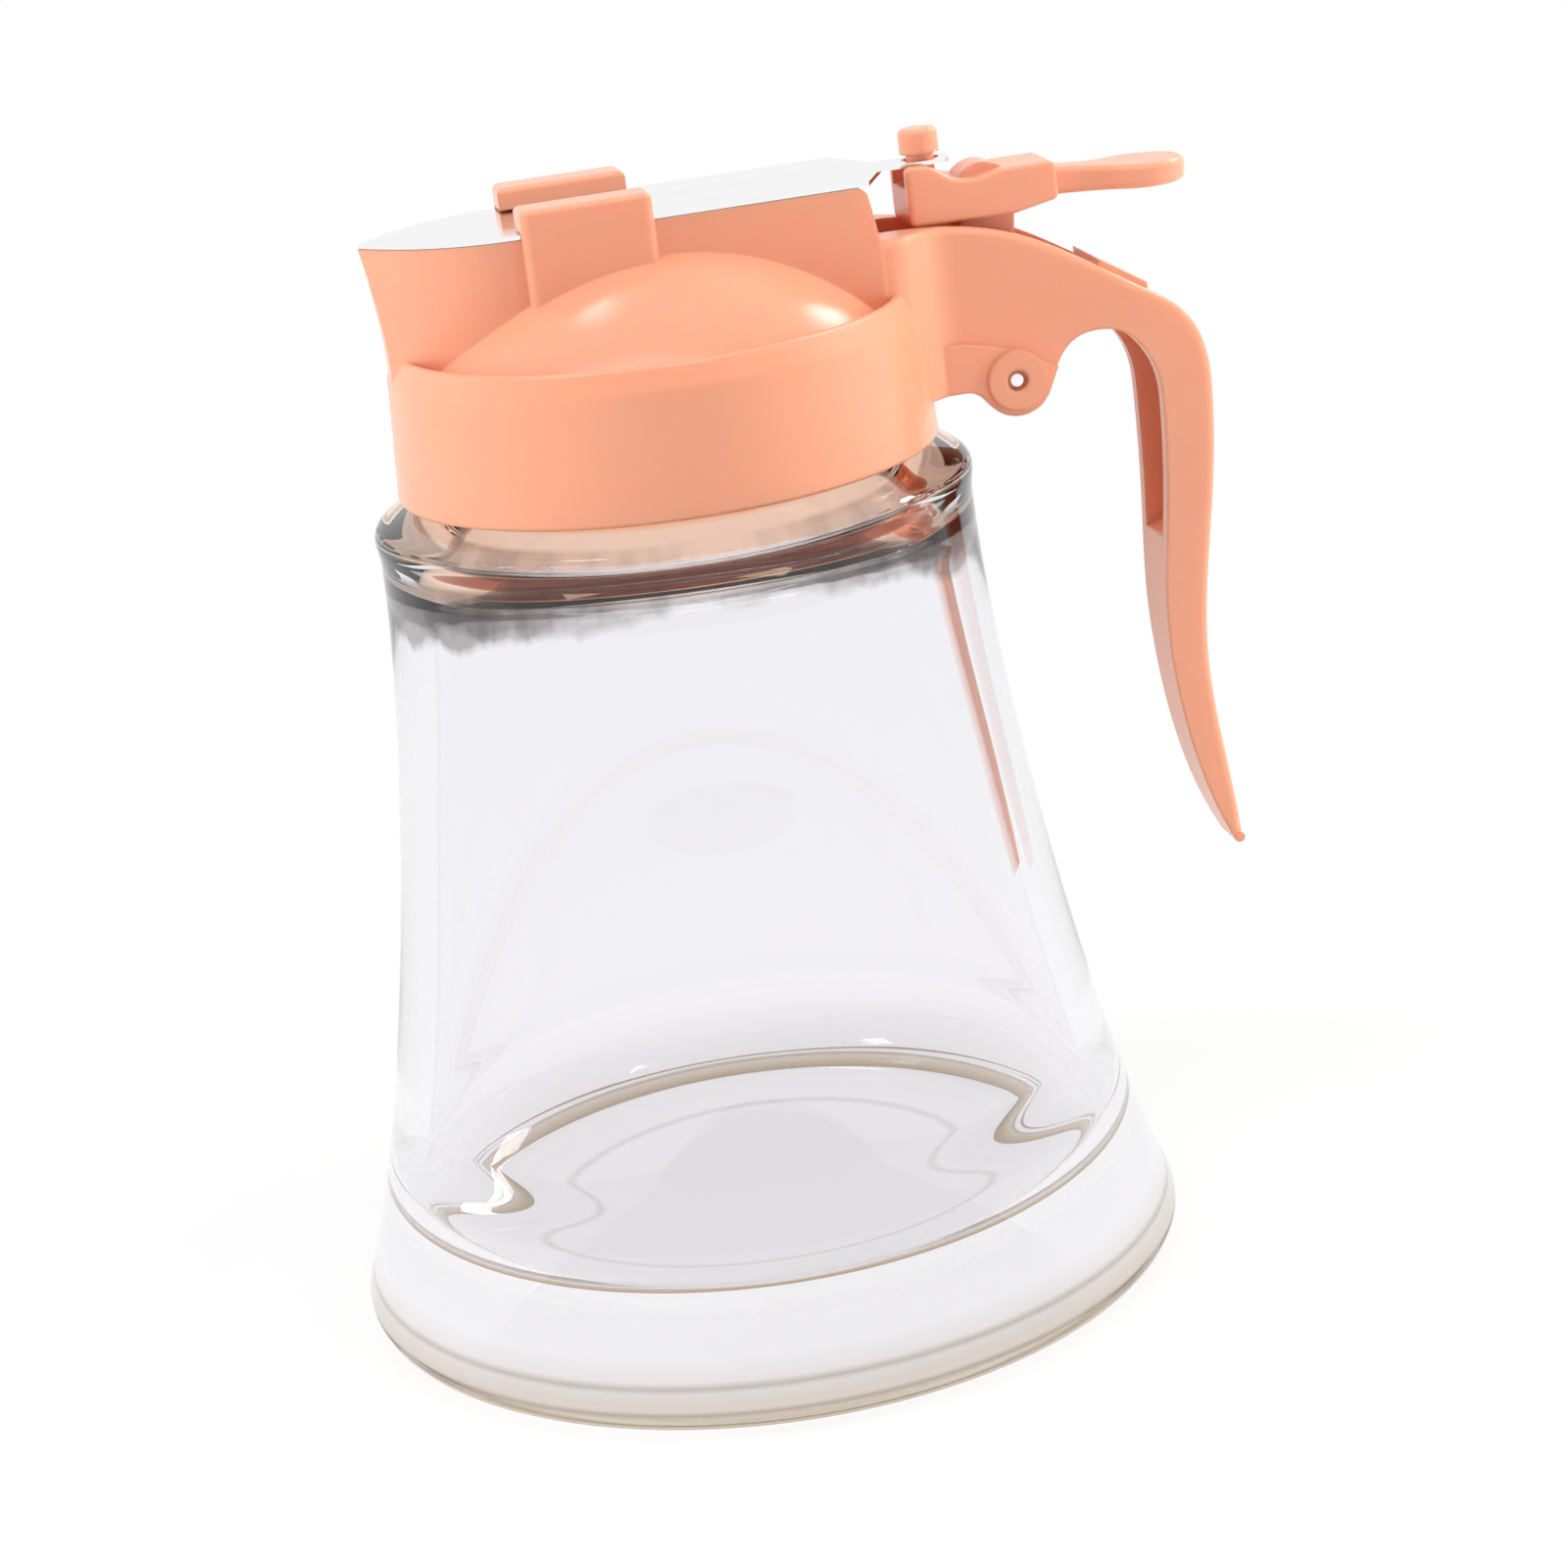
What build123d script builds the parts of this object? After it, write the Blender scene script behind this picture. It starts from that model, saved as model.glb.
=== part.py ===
from build123d import *
from math import atan, cos, pi, sin, sqrt
import os

# Honey dispenser: a flared glass jar with a screw-on plastic lid.
# The lid carries a spout, a finger handle, and a thumb lever that draws a steel blade off the spout.
# Origin on the jar's axis at the standing plane, +Z up, handle toward +X, spout toward -X.
# All sizes are in millimetres.

os.makedirs("parts", exist_ok=True)

# Glass jar, outside
foot_radius = 39.0
heel_rounding = 2.5
foot_slope = 0.36
low_flare_radius = 36.1
low_flare_height = 22.0
high_flare_radius = 31.2
high_flare_height = 50.0
waist_radius = 28.8
waist_height = 78.0
bead_overhang = 0.35
bead_rise = 2.2
bead_width = 0.9
bead_thickness = 1.0
bead_rounding = 0.4
shoulder_run = 2.2
shoulder_rise = 2.2
neck_radius = 23.0
neck_foot_rise = 3.3
neck_length = 9.2
lip_rounding = 0.7

# Glass jar, inside and underside
glass_wall = 3.8
mouth_radius = 20.0
shoulder_thickness = 5.0
floor_height = 7.0
floor_corner_height = 7.5
floor_corner_radius = 6.5
push_up_radius = 33.5
push_up_height = 1.8

# Gasket under the lid
gasket_thickness = 1.2
gasket_side_gap = 0.4
gasket_lap = 0.5

# Lid collar and dome
thread_room = 1.2
skirt_depth = 10.5
skirt_wall = 2.0
skirt_taper = 0.7
chamfer_depth = 2.2
chamfer_width = 1.2
rim_rise = 1.9
rim_wall = 0.7
rim_rounding = 0.3
deck_thickness = 1.6
seat_inset = 0.4
dome_radius = 29.5
dome_rise = 10.8
plastic_wall = 1.6

# Spout channel across the lid
channel_rise = 12.5
channel_half_width = 9.5
channel_wall = 1.6
beak_tip_reach = 26.4
beak_start_reach = 12.0
beak_low_reach = 18.8
beak_low_half_width = 7.8
beak_high_reach = 23.2
beak_high_half_width = 4.2
nose_foot_reach = 25.2
nose_foot_rise = 1.3
nose_mid_reach = 25.6
nose_mid_rise = 7.1
nose_lean = 0.2
channel_rear = 21.3
channel_rear_lean = 0.9
channel_rear_rounding = 1.2
spout_floor_rise = 1.3
spout_opening_end = 8.0
shelf_depth = 1.6

# Clips that hold the blade down
clip_front_reach = 12.1
clip_length = 12.4
clip_outer_half_width = 10.7
clip_flange_width = 4.9
clip_rise = 2.7
clip_foot_rise = 2.5
clip_rounding = 0.9
clip_top_rounding = 0.6
blade_side_gap = 0.15
blade_top_gap = 0.2

# Cutter blade
blade_thickness = 0.4
blade_gap = 0.05
blade_inset = 0.1
blade_shoulder_start = 20.8
blade_shoulder_run = 2.8
tail_width = 4.4
tail_end_gap = 0.85
slot_length = 3.65
slot_side_gap = 0.15

# Pivot: where the lever turns, with ears, bosses and pin
pivot_reach = 33.7
pivot_drop = 8.6
ear_rise = 0.5
ear_front_rise = 4.4
ear_mid_run = 1.2
ear_mid_rise = 3.3
ear_rear_run = 4.4
ear_rear_rise = 0.6
boss_radius = 2.9
boss_rise = 0.9
pin_radius = 0.75
pin_fit = 0.02
pin_recess = 0.4
pin_chamfer = 0.15
countersink_radius = 1.05
countersink_depth = 0.6

# Arch over the fingers and handle
arch_root_reach = 14.0
arch_root_drop = 5.4
root_half_width = 9.3
root_flank_length = 7.6
arch_half_width = 5.5
arch_wall = 1.5
arch_edge_rounding = 0.8
crest_run = 1.8
crest_drop = 2.0
arch_shoulder_inset = 6.3
arch_shoulder_drop = 8.7
arch_back_reach = 53.3
arch_back_drop = 19.1
grip_back_inset = 2.2
grip_back_drop = 47.1
tip_inset = 0.3
tip_drop = 67.4
tip_length = 0.9
tip_thickness = 0.9
tip_half_width = 2.5
hook_depth = 3.4
hook_rise = 6.8
grip_front_inset = 6.3
grip_front_rise = 24.8
grip_half_width = 3.1
grip_waist_rise = 16.8
finger_back_inset = 5.2
finger_back_drop = 1.0
finger_corner_inset = 1.8
finger_corner_rise = 5.8
finger_top_inset = 5.9
finger_top_rise = 7.9
lobe_radius = 3.5
lobe_start_angle = -25
lobe_sweep = 115
lobe_front_run = 5.2
lobe_front_drop = 0.5
band_rise = 0.4
band_length = 4.6
band_half_width = 4.6
slot_front_gap = 0.8
slot_rear_run = 9.1
slot_floor_gap = 1.1
hollow_bottom_rise = 9.0

# Thumb lever
lever_half_width = 3.8
lever_front_run = 8.1
lever_rear_run = 6.5
lever_top_drop = 0.25
lever_bottom_drop = 6.0
lever_top_length = 1.2
slope_run = 4.0
slope_drop = 1.65
dip_run = 1.4
dip_drop = 2.15
lever_rear_drop = 1.6
lever_rear_bottom_drop = 5.2
lever_corner_rounding = 0.6
lever_edge_rounding = 0.4
cheek_thickness = 1.3
tail_gap = 0.35
recess_rear_run = 2.7
hump_run = 0.4
hump_radius = 3.0
hump_drop = 0.95
hump_half_width = 1.9
stem_half_width = 2.6
stem_front_run = 3.3
stem_rear_run = 2.3
stem_waist_half = 1.7
stem_waist_shift = 0.8
stem_waist_rise = 5.1
hub_radius = 2.9
hub_fit = 0.05
hub_side_gap = 0.25
hub_inner_gap = 0.2
arm_half_width = 2.0
arm_lap = 1.0
arm_root_drop = 2.3
arm_bottom_drop = 5.1
arm_neck_length = 3.2
pad_offset = 15.6
pad_radius = 4.4
pad_thickness = 2.3
pad_bottom_drop = 5.5
pad_shoulder_angle = 125
pad_rounding = 0.7

# Peg that joins the lever to the blade
peg_run = 5.8
peg_neck_radius = 1.35
peg_head_radius = 1.9
peg_head_gap = 0.6
peg_head_thickness = 2.35
peg_head_rounding = 0.6
peg_depth = 4.6
peg_fit = 0.02

# Return spring
spring_wire_radius = 0.28
spring_coil_radius = 1.9
spring_pitch = 1.05
spring_quarter_turns = 11
spring_leg_lean = 3.0
spring_leg_length = 8.5
spring_anchor_length = 4.6
spring_bend_radius = 0.7
spring_hook_length = 0.9
spring_hook_fit = 0.05

# Jar heights and radii that follow
bead_radius = waist_radius + bead_overhang
bead_height = waist_height + bead_rise
neck_foot_height = bead_height + neck_foot_rise
neck_height = neck_foot_height + neck_length

# Lid heights and radii that follow
seat_height = neck_height + gasket_thickness
seat_inner_radius = mouth_radius - seat_inset
deck_height = seat_height + deck_thickness
skirt_inner_radius = neck_radius + thread_room
skirt_foot_radius = skirt_inner_radius + skirt_wall
skirt_top_radius = skirt_foot_radius - skirt_taper
skirt_bottom_height = seat_height - skirt_depth
rim_height = deck_height + rim_rise
rim_radius = skirt_top_radius - chamfer_width
dome_height = deck_height + dome_rise
dome_centre_height = dome_height - dome_radius
dome_foot_radius = sqrt(dome_radius**2 - (deck_height - dome_centre_height) ** 2)
inner_dome_radius = dome_radius - plastic_wall

# Channel and blade heights that follow
channel_height = deck_height + channel_rise
nose_foot_height = deck_height + nose_foot_rise
nose_mid_height = deck_height + nose_mid_rise
spout_floor_height = deck_height + spout_floor_rise
shelf_height = channel_height - shelf_depth
blade_bottom_height = channel_height + blade_gap
blade_top_height = blade_bottom_height + blade_thickness
blade_half_width = channel_half_width - blade_inset
blade_shoulder_end = blade_shoulder_start + blade_shoulder_run
clip_inner_half_width = clip_outer_half_width - clip_flange_width

# Arch and handle places that follow
arch_root_height = channel_height - arch_root_drop
arch_back_height = arch_root_height - arch_back_drop
tip_reach = arch_back_reach - tip_inset
tip_height = arch_root_height - tip_drop
grip_back = (arch_back_reach - grip_back_inset, arch_root_height - grip_back_drop)
grip_front = (arch_back_reach - grip_front_inset, tip_height + grip_front_rise)
finger_back_reach = arch_back_reach - finger_back_inset
finger_back_height = arch_back_height - finger_back_drop
finger_top_reach = finger_back_reach - finger_top_inset
hollow_half_width = arch_half_width - arch_wall
hollow_bottom_height = grip_front[1] + hollow_bottom_rise

# Pivot, lever and peg places that follow
pivot_height = deck_height - pivot_drop
pivot = (pivot_reach, pivot_height)
arch_underside_height = pivot_height - lobe_front_drop
slot_rear_reach = pivot_reach + slot_rear_run
lever_front_reach = pivot_reach - lever_front_run
lever_rear_reach = pivot_reach + lever_rear_run
lever_top_height = blade_top_height - lever_top_drop
lever_bottom_height = blade_top_height - lever_bottom_drop
recess_arc_radius = blade_bottom_height - tail_gap - pivot_height
recess_half_width = lever_half_width - cheek_thickness
stem_top_height = lever_bottom_height + plastic_wall
stem_waist_height = pivot_height + stem_waist_rise
hub_outer_y = -(hollow_half_width - hub_side_gap)
pad_reach = pivot_reach + pad_offset
pad_bottom_height = blade_top_height - pad_bottom_drop
pad_top_height = pad_bottom_height + pad_thickness
peg_reach = pivot_reach - peg_run
peg_head_bottom_height = blade_top_height + peg_head_gap
peg_head_height = peg_head_bottom_height + peg_head_thickness
peg_foot_height = blade_bottom_height - peg_depth

# Spring places that follow
spring_first_y = hub_inner_gap + spring_wire_radius
spring_anchor = (
    pivot_reach + spring_anchor_length,
    pivot_height + spring_coil_radius,
)


# Glass jar: one revolved section, thick at the floor, with a pushed-up underside and a plain neck
heel_angle = atan(foot_slope)
heel_top = (
    foot_radius + heel_rounding * cos(heel_angle),
    heel_rounding * (1 + sin(heel_angle)),
)
corner_start = (
    heel_top[0] - glass_wall - heel_rounding,
    floor_height + floor_corner_height,
)
with BuildPart() as glass_jar:
    with BuildSketch(Plane.XZ):
        with BuildLine():
            push_up = TangentArc((0, push_up_height), (push_up_radius, 0), tangent=(1, 0))
            foot = Line(push_up @ 1, (foot_radius, 0))
            heel = TangentArc(foot @ 1, heel_top, tangent=(1, 0))
            flare = Spline(
                heel @ 1,
                (low_flare_radius, low_flare_height),
                (high_flare_radius, high_flare_height),
                (waist_radius, waist_height),
                tangents=[(-sin(heel_angle), cos(heel_angle)), (0, 1)],
            )
            shoulder = FilletPolyline(
                flare @ 1,
                (bead_radius, bead_height),
                (bead_radius - bead_width, bead_height + bead_thickness),
                (neck_radius + shoulder_run, bead_height + shoulder_rise),
                (neck_radius, neck_foot_height),
                (neck_radius, neck_height),
                radius=bead_rounding,
            )
            mouth = Polyline(
                shoulder @ 1,
                (mouth_radius, neck_height),
                (mouth_radius, neck_foot_height),
            )
            inner_shoulder = Spline(
                mouth @ 1,
                (waist_radius - glass_wall, waist_height - shoulder_thickness),
                tangents=[(0, -1), (0, -1)],
            )
            inner_flare = Spline(
                inner_shoulder @ 1,
                (high_flare_radius - glass_wall, high_flare_height),
                (low_flare_radius - glass_wall, low_flare_height),
                corner_start,
                tangents=[(0, -1), (0, -1)],
            )
            floor_corner = TangentArc(
                inner_flare @ 1,
                (corner_start[0] - floor_corner_radius, floor_height),
                tangent=(0, -1),
            )
            Polyline(floor_corner @ 1, (0, floor_height), (0, push_up_height))
        make_face()
    revolve(axis=Axis.Z)
    fillet(glass_jar.edges().group_by(Axis.Z)[-1], radius=lip_rounding)
glass_jar.part.label = "glass_jar"
export_step(glass_jar.part, "parts/glass_jar.step")


# Gasket: a flat ring between the jar's lip and the lid's seat
with BuildPart() as mouth_gasket:
    with BuildSketch(Plane.XY.offset(neck_height)):
        Circle(skirt_inner_radius - gasket_side_gap)
        Circle(mouth_radius + gasket_lap, mode=Mode.SUBTRACT)
    extrude(amount=gasket_thickness)
mouth_gasket.part.label = "mouth_gasket"
export_step(mouth_gasket.part, "parts/mouth_gasket.step")


def channel_plan(level, inset):
    """The channel's plan with its beak, drawn in by inset, on the plane at level."""
    half = channel_half_width - inset
    half_low = beak_low_half_width - inset
    half_high = beak_high_half_width - inset
    with BuildSketch(Plane.XY.offset(level)) as plan:
        with BuildLine():
            side = Line((channel_rear - inset, half), (-beak_start_reach, half))
            Spline(
                side @ 1,
                (-beak_low_reach, half_low),
                (-beak_high_reach, half_high),
                (-beak_tip_reach + inset, 0),
            )
            Line(side @ 0, (channel_rear - inset, 0))
            mirror(about=Plane.XZ)
        make_face()
    return plan.sketch


def channel_side(inset):
    """The channel's side view, with the nose leaning out toward its top, drawn in by inset."""
    rear = channel_rear - inset
    with BuildSketch(Plane.XZ) as side_view:
        with BuildLine():
            back = FilletPolyline(
                (rear, arch_root_height),
                (rear - channel_rear_lean, channel_height),
                (0, channel_height),
                radius=channel_rear_rounding,
            )
            top = Line(back @ 1, (-beak_tip_reach + inset, channel_height))
            nose = Spline(
                top @ 1,
                (-nose_mid_reach + inset, nose_mid_height),
                (-nose_foot_reach + inset, nose_foot_height),
                tangents=[(nose_lean, -1), (0, -1)],
            )
            Polyline(
                nose @ 1,
                (-nose_foot_reach + inset, seat_height),
                (rear, seat_height),
                back @ 0,
            )
        make_face()
    return side_view.sketch


# Channel: the beak's plan cut to the nose's side view
with BuildPart() as channel_form:
    extrude(channel_plan(seat_height, 0), amount=channel_height - seat_height)
    extrude(channel_side(0), amount=channel_half_width, both=True, mode=Mode.INTERSECT)

# Spout hollow: full height at the beak, and split by a shelf under the blade along the rest
with BuildPart() as spout_hollow:
    extrude(
        channel_plan(spout_floor_height, channel_wall),
        amount=channel_height - spout_floor_height,
    )
    extrude(channel_side(plastic_wall), amount=channel_half_width, both=True, mode=Mode.INTERSECT)
    with BuildSketch(Plane.YZ.offset(-spout_opening_end)):
        with Locations((0, shelf_height - plastic_wall / 2)):
            Rectangle(2 * channel_half_width, plastic_wall)
    extrude(amount=spout_opening_end + channel_rear, mode=Mode.SUBTRACT)

# Clip: an upright outside the channel's wall with a flange over the blade's edge
with BuildPart() as clip_form:
    with BuildSketch(Plane.YZ.offset(-clip_front_reach)):
        with BuildLine():
            Polyline(
                (channel_half_width - channel_wall / 2, deck_height + clip_foot_rise),
                (clip_outer_half_width, deck_height + clip_foot_rise),
                (clip_outer_half_width, channel_height + clip_rise),
                (clip_inner_half_width, channel_height + clip_rise),
                (clip_inner_half_width, blade_top_height + blade_top_gap),
                (channel_half_width + blade_side_gap, blade_top_height + blade_top_gap),
                (channel_half_width + blade_side_gap, channel_height),
                (channel_half_width - channel_wall / 2, channel_height),
                close=True,
            )
        make_face()
    extrude(amount=clip_length)
    fillet(clip_form.edges().filter_by(Axis.Z).group_by(Axis.Y)[-1], radius=clip_rounding)
    fillet(clip_form.faces().sort_by(Axis.Z)[-1].edges(), radius=clip_top_rounding)


# Arch and handle: a side view, cut to a plan that flares at the root and a front view that narrows
with BuildSketch(Plane.XZ) as arch_side:
    with BuildLine():
        crest = Spline(
            (arch_root_reach, arch_root_height),
            (pivot_reach + crest_run, arch_root_height - crest_drop),
            (arch_back_reach - arch_shoulder_inset, arch_root_height - arch_shoulder_drop),
            (arch_back_reach, arch_back_height),
            tangents=[(1, 0), (0, -1)],
        )
        back = Spline(
            crest @ 1,
            grip_back,
            (tip_reach, tip_height + tip_length),
            tangents=[(0, -1), (0.1, -1)],
        )
        tip = ThreePointArc(
            back @ 1,
            (tip_reach - tip_thickness / 3, tip_height),
            (tip_reach - tip_thickness, tip_height + tip_length / 2),
        )
        front = Spline(
            tip @ 1,
            (tip_reach - hook_depth, tip_height + hook_rise),
            grip_front,
            (finger_back_reach, finger_back_height),
            tangents=[(-0.5, 1), (0, 1)],
        )
        finger_arch = Spline(
            front @ 1,
            (finger_back_reach - finger_corner_inset, finger_back_height + finger_corner_rise),
            (finger_top_reach, finger_back_height + finger_top_rise),
            tangents=[(0, 1), (-1, 0)],
        )
        lobe = CenterArc(pivot, lobe_radius, start_angle=lobe_start_angle, arc_size=-lobe_sweep)
        Spline(finger_arch @ 1, lobe @ 0, tangents=[(-1, 0), lobe % 0])
        lobe_front = Spline(
            lobe @ 1,
            (pivot_reach - lobe_front_run, arch_underside_height),
            tangents=[lobe % 1, (-1, 0)],
        )
        Polyline(
            lobe_front @ 1,
            (channel_rear, arch_underside_height),
            (channel_rear, deck_height),
            (arch_root_reach, deck_height),
            crest @ 0,
        )
    make_face()

with BuildSketch(Plane.XY.offset(tip_height)) as arch_plan:
    with BuildLine():
        plan_end = arch_back_reach + arch_wall
        straight = Line((arch_root_reach, root_half_width), (channel_rear, root_half_width))
        flank = Spline(
            straight @ 1,
            (channel_rear + root_flank_length, arch_half_width),
            tangents=[(1, 0), (1, 0)],
        )
        Polyline(flank @ 1, (plan_end, arch_half_width), (plan_end, 0))
        Line(straight @ 0, (arch_root_reach, 0))
        mirror(about=Plane.XZ)
    make_face()


def handle_front(inset):
    """The handle's front view, narrow at its tip and widening to the arch, drawn in by inset."""
    with BuildSketch(Plane.YZ) as front_view:
        with BuildLine():
            side = Spline(
                (tip_half_width - inset, tip_height),
                (grip_half_width - inset, tip_height + grip_waist_rise),
                (arch_half_width - inset, arch_underside_height),
                tangents=[(0.2, 1), (0, 1)],
            )
            Polyline(
                side @ 1,
                (root_half_width - inset, arch_underside_height),
                (root_half_width - inset, channel_height),
                (0, channel_height),
            )
            Line(side @ 0, (0, tip_height))
            mirror(about=Plane.YZ)
        make_face()
    return front_view.sketch


with BuildPart() as arch_form:
    extrude(arch_side.sketch, amount=root_half_width, both=True)
    extrude(arch_plan.sketch, amount=channel_height - tip_height, mode=Mode.INTERSECT)
    extrude(handle_front(0), amount=plan_end, mode=Mode.INTERSECT)
    crest_edges = arch_form.edges().filter_by(
        lambda edge: edge.geom_type == GeomType.BSPLINE
        and abs((edge @ 0.5).Y) > hollow_half_width
        and (edge @ 0.5).Z > deck_height + arch_edge_rounding
    )
    fillet(crest_edges, radius=arch_edge_rounding)

# Band: a low raised strip on the arch behind the lever's slot
with BuildPart() as band_form:
    extrude(arch_side.sketch, amount=band_half_width, both=True)
    with BuildSketch(Plane.XY.offset(arch_back_height)):
        with Locations((slot_rear_reach + band_length / 2, 0)):
            Rectangle(band_length, 2 * band_half_width)
    extrude(amount=channel_height - arch_back_height, mode=Mode.INTERSECT)

# Hollow of the arch: open below, with a roof that runs down inside the handle, and a slot over the lever
roof_steps = 8
with BuildSketch(Plane.XZ) as hollow_side:
    with BuildLine():
        places = [step / roof_steps for step in range(1, roof_steps + 1)]
        roof = Spline(
            [
                (crest @ place) + arch_wall * Vector((crest % place).Y, -(crest % place).X)
                for place in places
            ]
        )
        hollow_end = (grip_back[0] - arch_wall, hollow_bottom_height)
        Spline(roof @ 1, hollow_end)
        Polyline(
            hollow_end,
            (grip_front[0] - arch_wall, hollow_bottom_height - arch_wall),
            (finger_top_reach, hollow_bottom_height),
            ((roof @ 0).X, hollow_bottom_height),
            roof @ 0,
        )
    make_face()
    root_front = skirt_foot_radius + ear_rise
    with Locations(((root_front - arch_back_reach) / 2, arch_root_height)):
        Rectangle(root_front + arch_back_reach, 2 * arch_root_height, mode=Mode.SUBTRACT)

with BuildPart() as arch_hollow:
    extrude(hollow_side.sketch, amount=hollow_half_width, both=True)
    extrude(handle_front(arch_wall), amount=plan_end, mode=Mode.INTERSECT)
    for slot_front, slot_floor in (
        (channel_rear + slot_front_gap, rim_height + slot_floor_gap),
        (root_front, pivot_height),
    ):
        with BuildSketch(Plane.XY.offset(slot_floor)):
            with Locations(((slot_front + slot_rear_reach) / 2, 0)):
                Rectangle(slot_rear_reach - slot_front, 2 * hollow_half_width)
        extrude(amount=channel_height - slot_floor)

# Ears: a raised skin on each side of the arch round the pivot
with BuildSketch(Plane.XZ) as ear_side:
    with BuildLine():
        ear_front = (skirt_foot_radius, pivot_height + ear_front_rise)
        ear_rear = (pivot_reach + ear_rear_run, pivot_height + ear_rear_rise)
        Spline(
            ear_front,
            (pivot_reach - ear_mid_run, pivot_height + ear_mid_rise),
            ear_rear,
            tangents=[(1, 0), (1, -0.6)],
        )
        Polyline(
            ear_rear,
            (ear_rear[0], tip_height),
            (skirt_foot_radius, tip_height),
            ear_front,
        )
    make_face()
with BuildPart() as ears:
    extrude(arch_side.sketch, amount=arch_half_width + ear_rise, both=True)
    extrude(ear_side.sketch, amount=arch_half_width + ear_rise, both=True, mode=Mode.INTERSECT)


# Lid: collar and dome revolved, with the channel, clips and arch moulded on and the inside cut last
with BuildPart() as lid_body:
    with BuildSketch(Plane.XZ):
        with BuildLine():
            collar = FilletPolyline(
                (0, skirt_bottom_height),
                (skirt_foot_radius, skirt_bottom_height),
                (skirt_top_radius, rim_height - chamfer_depth),
                (rim_radius, rim_height),
                (rim_radius - rim_wall, rim_height),
                (rim_radius - rim_wall, deck_height),
                (dome_foot_radius, deck_height),
                radius=rim_rounding,
            )
            dome_arc = RadiusArc(collar @ 1, (0, dome_height), -dome_radius)
            Line(dome_arc @ 1, collar @ 0)
        make_face()
    revolve(axis=Axis.Z)
    add(channel_form.part)
    add(clip_form.part)
    mirror(clip_form.part, about=Plane.XZ)
    add(arch_form.part)
    with Locations((band_rise, 0, band_rise)):
        add(band_form.part)
    add(ears.part)
    with BuildSketch(Plane.XZ):
        with Locations(pivot):
            Circle(boss_radius)
    extrude(amount=arch_half_width + boss_rise, both=True)
    with BuildSketch(Plane.XZ):
        with BuildLine():
            seat_corner = dome_centre_height + sqrt(inner_dome_radius**2 - seat_inner_radius**2)
            inside = Polyline(
                (0, skirt_bottom_height),
                (skirt_inner_radius, skirt_bottom_height),
                (skirt_inner_radius, seat_height),
                (seat_inner_radius, seat_height),
                (seat_inner_radius, seat_corner),
            )
            inner_arc = RadiusArc(inside @ 1, (0, dome_height - plastic_wall), -inner_dome_radius)
            Line(inner_arc @ 1, inside @ 0)
        make_face()
    revolve(axis=Axis.Z, mode=Mode.SUBTRACT)
    add(spout_hollow.part, mode=Mode.SUBTRACT)
    add(arch_hollow.part, mode=Mode.SUBTRACT)
    with BuildSketch(Plane.XZ):
        with Locations(pivot):
            Circle(pin_radius + pin_fit)
    extrude(amount=arch_half_width + boss_rise, both=True, mode=Mode.SUBTRACT)
    for side in (1, -1):
        with BuildSketch(Plane.XZ.offset(side * (arch_half_width + boss_rise))):
            with Locations(pivot):
                Circle(countersink_radius)
        extrude(amount=-side * countersink_depth, mode=Mode.SUBTRACT)
    with BuildSketch(Plane.XZ.offset(-hollow_half_width)):
        with Locations(spring_anchor):
            Circle(spring_wire_radius + spring_hook_fit)
    extrude(amount=-spring_hook_length, mode=Mode.SUBTRACT)
lid_body.part.label = "lid_body"
export_step(lid_body.part, "parts/lid_body.step")


# Pivot pin: a plain steel pin through both ears
with BuildPart() as pivot_pin:
    with BuildSketch(Plane.XZ):
        with Locations(pivot):
            Circle(pin_radius)
    extrude(amount=arch_half_width + boss_rise - pin_recess, both=True)
    chamfer(pivot_pin.edges(), length=pin_chamfer)
pivot_pin.part.label = "pivot_pin"
export_step(pivot_pin.part, "parts/pivot_pin.step")


# Return spring: a torsion spring round the pin, one leg on the lever's stem, one hooked in the arch
def coil_point(quarter):
    """A point on the coil after a number of quarter turns, and the direction there."""
    angle = quarter * pi / 2
    point = Vector(
        pivot_reach + spring_coil_radius * cos(angle),
        spring_first_y + spring_pitch * quarter / 4,
        pivot_height - spring_coil_radius * sin(angle),
    )
    direction = Vector(
        -spring_coil_radius * sin(angle),
        spring_pitch / (2 * pi),
        -spring_coil_radius * cos(angle),
    )
    return point, direction.normalized()


def biarc(start, start_direction, end, end_direction):
    """Two arcs that meet smoothly between two points with given directions."""
    chord = end - start
    both = start_direction + end_direction
    bend = 2 * (1 - start_direction.dot(end_direction))
    reach = (sqrt(chord.dot(both) ** 2 + bend * chord.dot(chord)) - chord.dot(both)) / bend
    near = start + start_direction * reach
    far = end - end_direction * reach
    middle = (near + far) * 0.5
    TangentArc(start, middle, tangent=start_direction)
    TangentArc(middle, end, tangent=far - near)


with BuildPart() as return_spring:
    coil_start, start_direction = coil_point(spring_leg_lean / 90)
    coil_end, end_direction = coil_point(spring_quarter_turns)
    leg_start = coil_start - start_direction * spring_leg_length
    bend_start = Vector(spring_anchor[0] - spring_bend_radius, coil_end.Y, coil_end.Z)
    bend_end = Vector(spring_anchor[0], coil_end.Y + spring_bend_radius, coil_end.Z)
    hook_end_y = hollow_half_width + spring_hook_length - spring_wire_radius / 2
    hook_end = Vector(spring_anchor[0], hook_end_y, coil_end.Z)
    with BuildLine() as spring_path:
        Line(leg_start, coil_start)
        biarc(coil_start, start_direction, *coil_point(1))
        for quarter in range(1, spring_quarter_turns):
            biarc(*coil_point(quarter), *coil_point(quarter + 1))
        Line(coil_end, bend_start)
        TangentArc(bend_start, bend_end, tangent=(1, 0, 0))
        Line(bend_end, hook_end)
    spring_wire = spring_path.wire()
    with BuildSketch(Plane(origin=spring_wire @ 0, z_dir=spring_wire % 0)):
        Circle(spring_wire_radius)
    sweep(path=spring_wire)
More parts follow.
